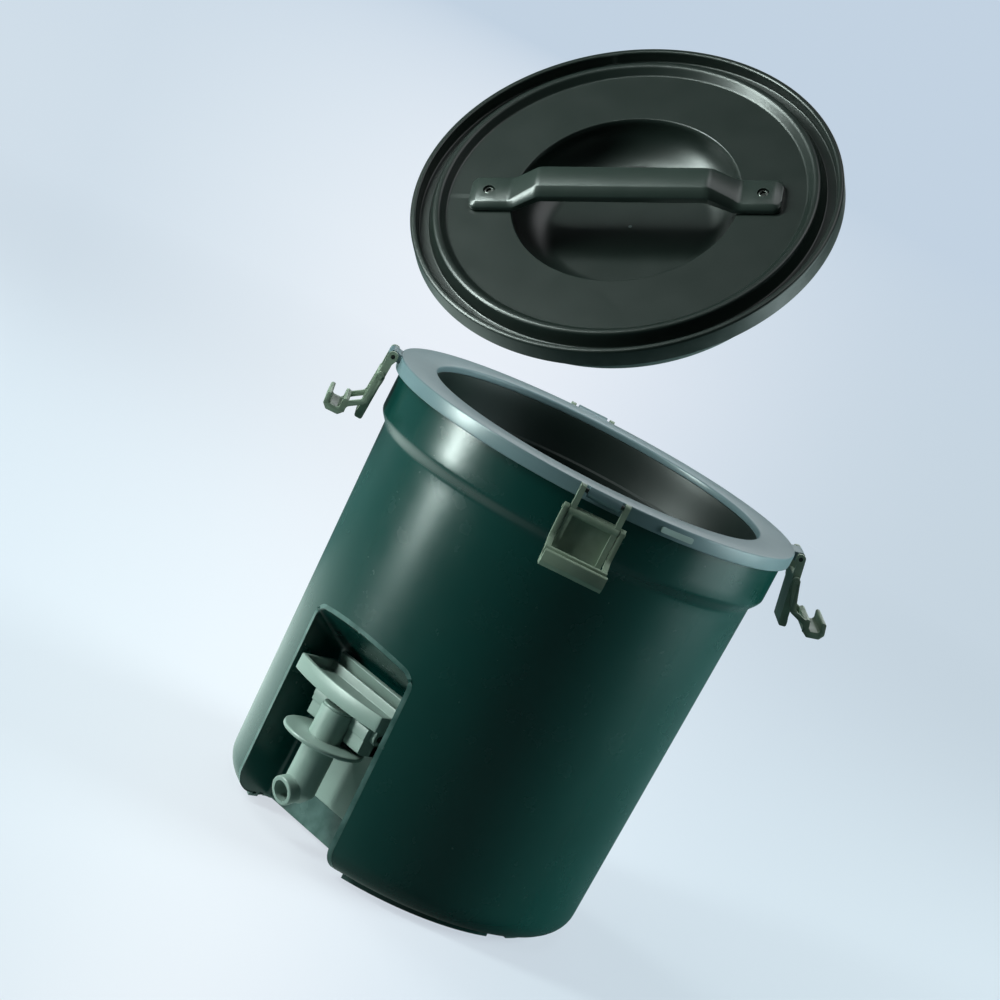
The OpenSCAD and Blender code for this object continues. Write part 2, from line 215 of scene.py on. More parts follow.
def combined(obj, shape, operation):
    """Joins a shape to the object, or cuts it away."""
    tool = object_of("tool", shape)
    change = obj.modifiers.new("combine", "BOOLEAN")
    change.operation = operation
    change.solver = "EXACT"
    change.object = tool
    applied(obj)
    bpy.data.objects.remove(tool)
    return obj


def built(name, parts, cuts=()):
    """One object from overlapping solids, less the cuts."""
    obj = object_of(name, parts[0])
    for part in parts[1:]:
        combined(obj, part, "UNION")
    for cut in cuts:
        combined(obj, cut, "DIFFERENCE")
    return obj


def eased(obj, width, segments=3, angle=32):
    """Rounds the object's sharp edges."""
    bevel = obj.modifiers.new("ease", "BEVEL")
    bevel.width = width * MM
    bevel.segments = segments
    bevel.limit_method = "ANGLE"
    bevel.angle_limit = math.radians(angle)
    bevel.harden_normals = False
    return applied(obj)


def finished(obj, look, body, nodes=(), matrix=None, angle=38):
    """Places a piece, gives it its look and ties it to the frame."""
    if matrix is not None:
        obj.data.transform(Matrix.Scale(MM, 4) @ matrix @ Matrix.Scale(1 / MM, 4))
    obj.data.shade_smooth()
    obj.data.set_sharp_from_angle(angle=math.radians(angle))
    obj.data.materials.clear()
    obj.data.materials.append(look)
    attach(obj, body)
    if nodes:
        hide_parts(*nodes)
    return obj


# ---- materials ----


def set_inputs(node, values):
    """Sets a node's inputs by name."""
    for socket, value in values.items():
        node.inputs[socket].default_value = value


def ranged(tree, value, source, target):
    """Maps a value from one (low, high) span to another."""
    node = tree.nodes.new("ShaderNodeMapRange")
    set_inputs(node, {"From Min": source[0], "From Max": source[1],
                      "To Min": target[0], "To Max": target[1]})
    tree.links.new(value, node.inputs["Value"])
    return node.outputs["Result"]


def blended(tree, factor, first, second):
    """Mixes two colours, each of them a tuple or another node's output."""
    mix = tree.nodes.new("ShaderNodeMix")
    mix.data_type = "RGBA"
    colour_a, colour_b, colour_result = 6, 7, 2
    tree.links.new(factor, mix.inputs["Factor"])
    for socket, value in ((colour_a, first), (colour_b, second)):
        if isinstance(value, tuple):
            mix.inputs[socket].default_value = (*value, 1)
        else:
            tree.links.new(value, mix.inputs[socket])
    return mix.outputs[colour_result]


def plastic(name, colour, rough, grain=0.12, grain_size=0.0006, edge_wear_and_highlight=0.25, spread=0.12, sheen=0.5,
            edges=(0.52, 0.62)):
    """Moulded plastic: a fine grain, uneven gloss, slightly uneven colour and paler edges, partly wear and
    partly a painted highlight.
    """
    look = bpy.data.materials.new(name)
    look.use_nodes = True
    tree = look.node_tree
    shader = tree.nodes["Principled BSDF"]
    set_inputs(shader, {"Specular IOR Level": sheen})
    place = tree.nodes.new("ShaderNodeTexCoord")
    usual = (0.35, 0.65)

    def noise(size, detail):
        """Noise with features of about this size in metres. Most of it lies in the usual span."""
        texture = tree.nodes.new("ShaderNodeTexNoise")
        set_inputs(texture, {"Scale": 1 / size, "Detail": detail, "Roughness": 0.5})
        tree.links.new(place.outputs["Object"], texture.inputs["Vector"])
        return texture.outputs["Fac"]

    darker = tuple(c * (1 - spread) for c in colour)
    lighter = tuple(c * (1 + spread) for c in colour)
    tone = blended(tree, ranged(tree, noise(0.06, 4), usual, (0, 1)), darker, lighter)
    # Convex edges turn paler: partly wear, and partly a painted highlight along the edges.
    edge = tree.nodes.new("ShaderNodeNewGeometry").outputs["Pointiness"]
    wear_and_highlight_mask = tree.nodes.new("ShaderNodeMath")
    wear_and_highlight_mask.operation = "MULTIPLY"
    tree.links.new(ranged(tree, edge, edges, (0, edge_wear_and_highlight)), wear_and_highlight_mask.inputs[0])
    tree.links.new(ranged(tree, noise(0.012, 3), usual, (0.4, 1)), wear_and_highlight_mask.inputs[1])
    pale = tuple(min(1, c * 2.2 + 0.10) for c in colour)
    tree.links.new(blended(tree, wear_and_highlight_mask.outputs[0], tone, pale), shader.inputs["Base Color"])
    gloss = ranged(tree, noise(0.02, 5), usual, (rough - 0.012, rough + 0.016))
    tree.links.new(gloss, shader.inputs["Roughness"])
    bump = tree.nodes.new("ShaderNodeBump")
    set_inputs(bump, {"Strength": grain, "Distance": 0.0002})
    tree.links.new(noise(grain_size, 2), bump.inputs["Height"])
    tree.links.new(bump.outputs["Normal"], shader.inputs["Normal"])
    return look


def metal(name, colour, rough):
    """Drawn steel with fine uneven gloss."""
    look = plastic(name, colour, rough, grain=0.05, edge_wear_and_highlight=0, spread=0.05)
    set_inputs(look.node_tree.nodes["Principled BSDF"], {"Metallic": 1})
    return look


# The shell's strong paler edges are a painted highlight along the niche's edges.
GREEN = plastic("shell_green", (0.0, 0.036, 0.030), 0.26, edge_wear_and_highlight=0.8, spread=0.04, sheen=0.45,
                edges=(0.545, 0.62))
RIM = plastic("rim_grey_green", (0.125, 0.195, 0.215), 0.32, edge_wear_and_highlight=0, spread=0.04)
# The pad's paler colour is a painted highlight on the band.
RIM_PAD_HIGHLIGHT = plastic("rim_pad_painted_highlight", (0.33, 0.44, 0.42), 0.34, edge_wear_and_highlight=0.1)
LINER = plastic("liner_dark", (0.004, 0.011, 0.009), 0.45, edge_wear_and_highlight=0, sheen=0.35)
LID = plastic("lid_dark", (0.006, 0.013, 0.010), 0.36, edge_wear_and_highlight=0.4, spread=0.04, sheen=0.42)
PLUG = plastic("lid_plug_grey", (0.10, 0.14, 0.135), 0.4)
HANDLE = plastic("handle_grey", (0.020, 0.033, 0.027), 0.34, edge_wear_and_highlight=0.25, spread=0.05)
LATCH = plastic("latch_grey", (0.16, 0.21, 0.155), 0.40, edge_wear_and_highlight=0.3, spread=0.05)
TAP = plastic("tap_grey", (0.22, 0.30, 0.265), 0.4, edge_wear_and_highlight=0.1, spread=0.05)
VENT = plastic("vent_black", (0.006, 0.007, 0.007), 0.6, edge_wear_and_highlight=0)
SEAL = plastic("seal_grey", (0.25, 0.28, 0.28), 0.6, edge_wear_and_highlight=0)
# The steel is made very dark as painted shade, so that the handle's screw heads read as dark holes.
SHADE_DARKENED_STEEL = metal("steel", (0.07, 0.075, 0.07), 0.36)
FOAM = plastic("foam", (0.75, 0.66, 0.42), 0.9, grain=0.6, grain_size=0.002, edge_wear_and_highlight=0)


# ---- the jug's shell ----


def wall_r(height):
    """Radius of the straight wall, as if it went on down to the floor."""
    return BODY_BASE_R + (BODY_TOP_R - BODY_BASE_R) * height / COVE_Z


def shell_profile():
    """(radius, height) rows up the shell's outside, from the edge of the opening in its bottom."""
    corner_steps, wall_steps, cove_steps, collar_steps = 10, 40, 12, 5
    first = SHELL_Z + BASE_ROUND
    centre_r = wall_r(first) - BASE_ROUND
    rows = [(FOOT_R + 0.4, SHELL_Z)]
    for i in range(corner_steps + 1):
        angle = math.radians(-90 + 9 * i)
        rows.append((centre_r + BASE_ROUND * math.cos(angle), first + BASE_ROUND * math.sin(angle)))
    for i in range(1, wall_steps + 1):
        height = first + (COVE_Z - first) * i / wall_steps
        rows.append((wall_r(height), height))
    for i in range(1, cove_steps + 1):
        lift = (1 - math.cos(math.pi * i / cove_steps)) / 2
        radius = BODY_TOP_R + (COLLAR_R - BODY_TOP_R) * lift
        rows.append((radius, COVE_Z + COVE_H * i / cove_steps))
    top = RIM_TOP - 4.9
    for i in range(1, collar_steps + 1):
        rows.append((COLLAR_R, COVE_Z + COVE_H + (top - COVE_Z - COVE_H) * i / collar_steps))
    return rows


def radius_at(rows, height):
    """The outside's radius at a height, between its rows."""
    for (r0, z0), (r1, z1) in zip(rows, rows[1:]):
        if z0 <= height <= z1 and z1 > z0:
            return r0 + (r1 - r0) * (height - z0) / (z1 - z0)
    return rows[-1][0]


def bent(start, corner, end, steps):
    """Points on the curve from start to end that the corner pulls out."""
    curve = []
    for k in range(steps + 1):
        t = k / steps
        curve.append(start * (1 - t) ** 2 + corner * 2 * t * (1 - t) + end * t ** 2)
    return curve


def outer_shell():
    """The drum as one grid of columns and rows, with strands that run from an arch in it into the niche."""
    rows = shell_profile()
    columns = 192
    # Columns from the front to the arch's side, its top row, and the rows below the niche's straight side
    reach = 19
    arch_top = 168
    top_row = next(i for i, (_, height) in enumerate(rows) if height > arch_top)
    low_rows = 11
    front = round(columns * 0.75)
    points, faces, grid = [], [], {}

    def away(column):
        """How many columns this one is from the front."""
        return abs((column - front + columns // 2) % columns - columns // 2)

    def vertex(p):
        points.append(tuple(p))
        return len(points) - 1

    for row, (radius, height) in enumerate(rows):
        for column in range(columns):
            if row < top_row and away(column) < reach:
                continue
            angle = math.tau * column / columns
            grid[row, column] = vertex((radius * math.cos(angle), radius * math.sin(angle), height))
    for row in range(len(rows) - 1):
        for column in range(columns):
            corners = [(row, column), (row, (column + 1) % columns),
                       (row + 1, (column + 1) % columns), (row + 1, column)]
            inside = row < top_row and all(away(c) <= reach for _, c in corners)
            if not inside and all(corner in grid for corner in corners):
                faces.append([grid[corner] for corner in corners])

    # The arch: up the left column, across the top row, down the right column
    left, right = front - reach, front + reach
    ring = [(row, left) for row in range(top_row)]
    ring += [(top_row, column) for column in range(left, right + 1)]
    ring += [(row, right) for row in range(top_row - 1, -1, -1)]
    half = (len(ring) - 1) // 2

    def roof(y):
        """Height of the niche's sloping roof at depth y."""
        return NICHE_BACK_H + ROOF_SLOPE * (-NICHE_BACK - y)

    # One sample of the niche's outline for each vertex of the arch's left half
    arc_from = top_row - 4
    arc_steps = 10
    samples = []
    for k in range(half + 1):
        if k <= low_rows:
            samples.append(("low", k))
        elif k <= arc_from:
            samples.append(("side", (k - low_rows) / (arc_from - low_rows)))
        elif k <= arc_from + arc_steps:
            samples.append(("arc", (k - arc_from) / arc_steps))
        else:
            samples.append(("top", (k - arc_from - arc_steps) / (half - arc_from - arc_steps)))

    def section(sample, y):
        """(x, height) of a sample at depth y."""
        kind, value = sample
        flat = NICHE_HALF_W - NICHE_CORNER
        if kind == "low":
            return -NICHE_HALF_W, rows[value][1]
        start = rows[low_rows][1]
        side_top = roof(y) - NICHE_CORNER
        if kind == "side":
            return -NICHE_HALF_W, start + (side_top - start) * value
        if kind == "arc":
            angle = math.pi / 2 * value
            return (-NICHE_HALF_W + NICHE_CORNER * (1 - math.cos(angle)),
                    side_top + NICHE_CORNER * math.sin(angle))
        return -flat + flat * value, roof(y)

    def edge(sample):
        """Where a sample meets the drum's outside, found by repeated steps from a first guess."""
        y = -130.0
        for _ in range(12):
            x, height = section(sample, y)
            radius = rows[sample[1]][0] if sample[0] == "low" else radius_at(rows, height)
            y = -math.sqrt(radius * radius - x * x)
        return Vector((x, y, height))

    def wall_point(sample, y):
        """A sample's point at depth y."""
        x, height = section(sample, y)
        return Vector((x, y, height))

    # Each strand runs over the outside, round the edge, along the niche's side and into its back
    strands = []
    outside_rows, wall_rows = 9, 6
    edge_round, back_round = 1.7, 3.0
    back_middle_z = 60
    for k in range(half + 1):
        sample = samples[k]
        rim = edge(sample)
        outer = Vector(points[grid[ring[k]]])
        span = []
        for step in range(outside_rows):
            t = (1 - step / outside_rows) ** 1.5
            angle = (1 - t) * math.atan2(rim.x, -rim.y) + t * math.atan2(outer.x, -outer.y)
            if k <= low_rows:
                radius, height = rows[k]
            else:
                height = rim.z + (outer.z - rim.z) * t
                radius = radius_at(rows, height)
            span.append(Vector((radius * math.sin(angle), -radius * math.cos(angle), height)))
        outward = (span[-1] - rim).normalized()
        inward = (wall_point(sample, rim.y + 4) - rim).normalized()
        curve = bent(rim + outward * edge_round, rim, rim + inward * edge_round, 5)
        deep = wall_point(sample, -NICHE_BACK - back_round)
        walls = [curve[-1] + (deep - curve[-1]) * step / wall_rows for step in range(1, wall_rows + 1)]
        foot = wall_point(sample, -NICHE_BACK)
        if sample[0] == "top":
            side = Vector((0, 0, -1))
        elif sample[0] == "arc":
            side = Vector((-foot.x, 0, min(foot.z, back_middle_z) - foot.z)).normalized()
        else:
            side = Vector((1, 0, 0))
        corner = bent(deep, foot, foot + side * back_round, 4)[1:]
        strands.append(span[1:] + curve + walls + corner)

    columns_of = []
    for k, strand in enumerate(strands):
        columns_of.append([grid[ring[k]]] + [vertex(p) for p in strand])
    for k in range(half - 1, -1, -1):
        flipped = [Vector((-p.x, p.y, p.z)) for p in strands[k]]
        columns_of.append([grid[ring[len(ring) - 1 - k]]] + [vertex(p) for p in flipped])
    for first, second in zip(columns_of, columns_of[1:]):
        for i in range(len(first) - 1):
            faces.append([first[i], second[i], second[i + 1], first[i + 1]])
    faces.append([strand[-1] for strand in columns_of])
    return points, faces


def make_shell():
    """The green drum, with the niche let into its front."""
    shell = object_of("outer_shell_finish", outer_shell())
    thickness = 1.5
    wall = shell.modifiers.new("wall", "SOLIDIFY")
    wall.thickness = thickness * MM
    wall.offset = -1
    applied(shell)
    finished(shell, GREEN, "jug", ["outer_shell"], angle=50)


def wall_inner(height):
    """Radius of the cup's inside."""
    widening = MOUTH_R - 1.5 - LINER_FLOOR_R
    return LINER_FLOOR_R + widening * max(0, height - LINER_FLOOR_Z) / (RIM_TOP - LINER_FLOOR_Z)


def make_liner():
    """The cup, pushed in behind the niche, with its wall cut into rows fine enough to bend."""
    top = RIM_TOP - 4.6
    profile = rounded([
        (0, 52), (112, 52, 9), (MOUTH_R + 3, top, 0.4), (MOUTH_R, top, 0.5), (MOUTH_R - 1.0, 285),
        (MOUTH_R - 2.2, 276, 0.5), (MOUTH_R - 3.4, 274.5, 0.5), (LINER_FLOOR_R, LINER_FLOOR_Z, 7),
        (0, LINER_FLOOR_Z)], closed=False)
    longest = 8
    fine = []
    for (r0, z0), (r1, z1) in zip(profile, profile[1:]):
        parts = 1 + int(max(abs(z1 - z0), abs(r1 - r0)) / longest)
        for k in range(parts):
            fine.append((r0 + (r1 - r0) * k / parts, z0 + (z1 - z0) * k / parts))
    fine.append(profile[-1])
    points, faces = lathe(fine, 192, False)

    def smooth(value, low, high):
        """From 0 at low to 1 at high, level at both ends."""
        t = min(1, max(0, (value - low) / (high - low)))
        return t * t * (3 - 2 * t)

    # The push is whole behind the niche and fades out beyond its sides and above its roof
    bulged = []
    for x, y, z in points:
        reach = 1 - smooth(abs(x), NICHE_HALF_W + 8, NICHE_HALF_W + 18)
        reach *= 1 - smooth(z, 128, 158)
        outside = math.hypot(x, y) > wall_inner(z) + 1.2 or z < 53
        flat = -NICHE_BACK + (10.5 if outside else 13)
        if y < flat:
            y = y + (flat - y) * reach
        bulged.append((x, y, z))
    liner = object_of("inner_liner_finish", (bulged, faces))
    finished(liner, LINER, "jug", ["inner_liner"], angle=34)


def make_rim():
    """Rim and band with the latch knuckles, and a small raised pad on the band, coloured paler as a painted
    highlight.
    """
    skirt_r = RIM_R - 3.0
    profile = rounded([
        (MOUTH_R, RIM_TOP - 4.5, 0.4), (skirt_r, RIM_TOP - 4.5, 0.6), (skirt_r, BAND_BOTTOM),
        (RIM_R, BAND_BOTTOM, 0.7), (RIM_R, RIM_TOP, 1.1), (MOUTH_R, RIM_TOP, 1.4)])
    rim = object_of("rim_ring_finish", lathe(profile, 256))
    finished(rim, RIM, "jug", ["rim_ring"], angle=34)

    joint_r, joint_z = pivot()
    pivot_at = (0, joint_r, joint_z)
    half = 11
    arm = rounded([(RIM_R - 1.5, joint_z - 3.0), (joint_r, joint_z - 3.4, 0.1),
                   (joint_r, joint_z + 3.4, 0.1), (RIM_R - 1.5, joint_z + 2.2)])
    for name in LATCHES:
        knuckle = built("rim_knuckle_" + name,
                        [slab(arm, -half, half, "yz"),
                         rod(3.6, -half - 0.05, half + 0.05, 40, "X", pivot_at)],
                        [rod(1.58, -half - 1, half + 1, 32, "X", pivot_at)])
        finished(knuckle, RIM, "jug", (), latch_turn(name), 34)

    # A thin raised pad whose paler colour is a painted highlight on the band.
    half, bottom, top, corner = 12, BAND_BOTTOM + 2.4, RIM_TOP - 3.2, 1.2
    outline = rounded([(-half, bottom, corner), (half, bottom, corner),
                       (half, top, corner), (-half, top, corner)], 4)
    pad = object_of("rim_pad", slab(outline, RIM_R - 1.5, RIM_R + 0.45, "xz"))
    azimuth = -24
    finished(pad, RIM_PAD_HIGHLIGHT, "jug", (), Matrix.Rotation(math.radians(azimuth - 90), 4, "Z"))


# ---- latches ----


def pivot(name="front_right"):
    """(distance from the axis, height) of a lever's pivot."""
    x, y, z = JOINTS["lever_%s_swing" % name]["pos_m"]
    return math.hypot(x, y) / MM, z / MM


def latch_turn(name):
    """Turns local +Y to the latch's direction."""
    x, y, _ = JOINTS["lever_%s_swing" % name]["pos_m"]
    return Matrix.Rotation(math.atan2(y, x) - math.pi / 2, 4, "Z")


def about(y, z, degrees):
    """A turn about a line along X."""
    return (Matrix.Translation((0, y, z)) @ Matrix.Rotation(math.radians(degrees), 4, "X")
            @ Matrix.Translation((0, -y, -z)))


def make_latch(name):
    """A lever and the hook on its pin, drawn upright and then turned to their places at rest."""
    joint_r, joint_z = pivot(name)
    flare = -JOINTS["lever_%s_swing" % name]["range_deg"][0]
    swing = -JOINTS["hook_%s_swing" % name]["range_deg"][0]
    pin_r, pin_z = joint_r + 1.0, joint_z - 15
    pivot_at, pin_at = (0, joint_r, joint_z), (0, pin_r, pin_z)
    lever_place = latch_turn(name) @ about(joint_r, joint_z, flare)
    hook_place = lever_place @ about(pin_r, pin_z, -swing)

    half, rail_w = 17.0, 3.6
    back, face = joint_r - 1.9, joint_r + 1.7
    foot = joint_z - 46.5
    panel = rounded([
        (back, foot + 0.5, 0.8), (face - 0.4, foot + 0.5), (face - 0.9, foot + 6), (face - 1.2, foot + 18),
        (face - 1.0, foot + 30), (face - 0.6, foot + 35, 0.5), (back, foot + 35, 0.8)], 3)
    rail = rounded([
        (back, foot, 1.4), (face + 1.6, foot, 1.2), (face + 1.9, foot + 2.8, 1.2), (face + 1.5, foot + 7, 2),
        (face + 1.6, foot + 38), (joint_r + 3.3, joint_z - 2.5, 1), (joint_r + 3.2, joint_z + 2, 2.2),
        (joint_r + 1.0, joint_z + 3.4, 2.2), (joint_r - 1.6, joint_z + 3.3, 1.5),
        (joint_r - 3.2, joint_z + 1.2, 1.5), (joint_r - 3.2, joint_z - 1.8, 1.5),
        (back, joint_z - 5, 1.5)], 4)
    lip = rounded([
        (back, foot, 1.2), (face + 1.8, foot, 1.2), (face + 2.0, foot + 2.4, 1),
        (face - 0.6, foot + 3.2, 0.8), (back, foot + 3.4)], 4)
    lever = built("latch_lever_%s_finish" % name,
                  [slab(panel, -half + 1, half - 1, "yz"), slab(rail, -half, -half + rail_w, "yz"),
                   slab(rail, half - rail_w, half, "yz"), slab(lip, -half + 2, half - 2, "yz"),
                   rod(2.9, -half, half, 40, "X", pin_at)],
                  [rod(1.56, -half - 1, half + 1, 32, "X", pivot_at),
                   rod(1.43, -half - 1, half + 1, 32, "X", pin_at)])
    eased(lever, 0.3, 2)
    finished(lever, LATCH, "lever_" + name, ["latch_lever_" + name], lever_place)

    half, arm_w = 21.0, 3.4
    bridge = SEAT_Z + LIP_H + 0.7
    top = bridge + 4.3
    inner, outer, tip = LID_R + 0.7, LID_R + 4.6, LID_R - 10.4
    arm = rounded([
        (pin_r - 2.6, pin_z - 1.4, 2), (pin_r - 1.2, pin_z - 3.4, 2), (pin_r + 1.6, pin_z - 3.3, 2),
        (pin_r + 3.1, pin_z - 0.6, 2), (pin_r + 2.9, pin_z + 3), (RIM_R + 5.6, RIM_TOP + 2.6, 4),
        (outer, RIM_TOP + 10, 3), (outer, top - 3), (inner, top - 3), (inner, RIM_TOP + 8.4, 3),
        (RIM_R + 1.6, RIM_TOP + 1.2, 4), (pin_r - 2.8, pin_z + 3)], 4)
    end = rounded([
        (inner, bridge - 7, 0.6), (inner + 1.6, bridge - 7.6, 0.6), (outer + 0.02, bridge - 6.6, 0.8),
        (outer + 0.02, top - 3.4, 1.2), (outer - 3.2, top, 1.4), (tip + 3.2, top, 1.4),
        (tip, top - 3.2, 1.4), (tip, bridge - 6.6, 1.2), (tip + 3.0, bridge - 7.3, 1.2),
        (tip + 3.2, bridge - 1.4, 1.4), (tip + 4.6, bridge, 1.2), (inner - 1.4, bridge, 1),
        (inner, bridge - 1.6, 1)], 4)
    groove = rounded([(outer + 1, bridge - 5.2), (outer - 0.7, bridge - 4.8),
                      (outer - 0.7, bridge - 1.4), (outer + 1, bridge - 1.0)])
    hook = built("latch_hook_%s_finish" % name,
                 [slab(end, -half, half, "yz"), slab(arm, -half, -half + arm_w, "yz"),
                  slab(arm, half - arm_w, half, "yz")],
                 [rod(1.44, -half - 1, half + 1, 32, "X", pin_at),
                  slab(groove, -half + arm_w, half - arm_w, "yz")])
    eased(hook, 0.35, 2)
    finished(hook, LATCH, "hook_" + name, ["latch_hook_" + name], hook_place)


# ---- tap ----


def make_tap():
    """The tap in the niche: body, guard ring, bonnet, backplate and paddle."""
    barrel_at = Matrix.Translation((0, -TAP_Y, 0))
    pin_y, pin_z = -PADDLE_PIN[0], PADDLE_PIN[1]
    shank_at = (0, 0, SHANK_Z)
    ear_x, stop_x, ear_from = 27.4, 27.9, 11.3
    barrel = rounded([(0, 25), (5, 25.4, 6), (11.5, 33, 6), (BARREL_R, BARREL_TOP, 0.8), (0, BARREL_TOP)],
                     8, False)
    nozzle_turn = Matrix.Translation((0, -TAP_Y, 36)) @ Matrix.Rotation(math.radians(110), 4, "X")
    nozzle = rounded([(0, -2), (9.2, -2, 1), (9.4, 6, 3), (10, 12), (10, 15.5, 1.1), (0, 15.5)], 4, False)
    bore = [(0, 37), (8, 37), (8, 62), (5, 62), (5, 64), (8, 64), (8, 99), (0, 99)]
    ear = rounded([(-112, 77, 1), (-108, 76, 1), (-96, 76, 1), (-96, 95, 1), (-112, 95, 1)], 3)
    stop = rounded([(-113, 86.5, 0.5), (-106, 86.5), (-106, 95), (-113, 95, 0.8)], 3)
    parts = [moved(lathe(barrel, 96, False), barrel_at),
             moved(lathe(nozzle, 72, False), nozzle_turn),
             rod(9.8, -TAP_Y, -NICHE_BACK - 4, 64, "Y", shank_at),
             rod(15.8, -NICHE_BACK - 6.2, -NICHE_BACK - 3.4, 96, "Y", shank_at),
             rod(9, -NICHE_BACK - 5, -61, 64, "Y", shank_at),
             block(-ear_x, ear_x, -100, -95, 76, 92)]
    for side in (-1, 1):
        for outline, reach in ((ear, ear_x), (stop, stop_x)):
            x0, x1 = sorted((side * ear_from, side * reach))
            parts.append(slab(outline, x0, x1, "yz"))
    body = built("tap_body_finish", parts,
                 [moved(lathe(bore, 64, False), barrel_at), moved(rod(7, 0.2, 40, 48), nozzle_turn),
                  rod(6, -TAP_Y, -50, 48, "Y", shank_at), rod(2.06, -32, 32, 32, "X", (0, pin_y, pin_z))])
    eased(body, 0.4, 2, 40)
    finished(body, TAP, "jug", ["tap_body"])

    guard = rounded([(BARREL_R + 0.1, 70), (28.6, 70, 1.1), (28.6, 73, 1.1), (BARREL_R + 0.1, 73)])
    guard = object_of("tap_guard_ring_finish", moved(lathe(guard, 128), barrel_at))
    finished(guard, TAP, "jug", ["tap_guard_ring"])

    bonnet = rounded([
        (2.5, 87), (7.9, 87, 0.4), (7.9, BARREL_TOP + 0.1), (11, BARREL_TOP + 0.1, 0.3),
        (11, BARREL_TOP + 1.7, 0.7), (4.5, BARREL_TOP + 1.7, 0.4), (2.5, BARREL_TOP + 1.2, 0.3)])
    bonnet = object_of("tap_bonnet_finish", moved(lathe(bonnet, 96), barrel_at))
    finished(bonnet, TAP, "jug", ["tap_bonnet"])

    plate_y = -NICHE_BACK - 0.3
    profile = rounded([
        (plate_y, 26, 0.8), (plate_y - 2.7, 26, 0.9), (plate_y - 2.7, 102, 6), (plate_y - 9.4, 117.6, 0.6),
        (plate_y - 6.6, 119, 0.8), (plate_y, 103, 6)], 6)
    plate = built("tap_backplate_finish", [slab(profile, -40, 40, "yz")],
                  [rod(9.4, plate_y - 10, plate_y + 3, 64, "Y", shank_at)])
    eased(plate, 0.5, 2)
    finished(plate, TAP, "jug", ["tap_backplate"])

    make_paddle(pin_y, pin_z)


def make_paddle(pin_y, pin_z):
    """The paddle: a bowed front wall round a shallow pocket, and two lugs on its pin."""
    half, bow_r, front, rear = 43.0, 140.0, TAP_Y + 15, NICHE_BACK + 10
    low, high, wall = 100.0, 111.0, 2.6
    lug_x, lug_half, lug_w = 30.2, 2.2, 5
    bow_steps = 28

    def bow(inset, width):
        """The bowed front's curve, set in by inset, out to width on both sides."""
        radius = bow_r - inset
        widest = math.asin(width / radius)
        curve = []
        for k in range(bow_steps + 1):
            angle = -widest + 2 * widest * k / bow_steps
            curve.append((radius * math.sin(angle), bow_r - front - radius * math.cos(angle)))
        return curve

    outline = bow(0, half) + [(half, -rear), (-half, -rear)]
    pocket = bow(3.4, half - wall) + [(half - wall, -rear - 2), (-half + wall, -rear - 2)]
    lug = rounded([(pin_y - lug_w, low + 1), (pin_y - lug_w, pin_z - lug_w, 4.5),
                   (pin_y + lug_w, pin_z - lug_w, 4.5), (pin_y + lug_w, low + 1)], 8)
    parts = [slab(outline, low, high)]
    for side in (-1, 1):
        parts.append(slab(lug, side * lug_x - lug_half, side * lug_x + lug_half, "yz"))
    paddle = built("tap_paddle_finish", parts,
                   [slab(pocket, low + 4.5, high + 5), rod(2.06, -half, half, 32, "X", (0, pin_y, pin_z))])
    eased(paddle, 0.6, 2, 40)
    finished(paddle, TAP, "paddle", ["tap_paddle"])


# ---- lid, drawn shut with its underside at height 0 ----


def lid_place():
    """From the lid's own frame to where the raised lid is."""
    joint = JOINTS["lid_lift"]
    corner = Vector(joint["pos_m"]) / MM
    tip = Matrix.Rotation(math.radians(-joint["range_deg"][0]), 4, Vector(joint["axis"]))
    seated = Matrix.Translation((0, 0, SEAT_Z)) @ Matrix.Rotation(math.radians(HANDLE_TURN), 4, "Z")
    return Matrix.Translation(corner) @ tip @ Matrix.Translation(-corner) @ seated


def well(gap, start):
    """The hand well's curve from its edge down to its floor, set out by gap, from the start angle."""
    curve = []
    round_r, top, steps = 23, FLAT_Z - 1, 24
    for k in range(steps + 1):
        angle = math.radians(start + (90 - start) * k / steps)
        curve.append((WELL_R - round_r + (round_r + gap) * math.cos(angle),
                      top - (WELL_FLOOR + top + gap) * math.sin(angle)))
    return curve


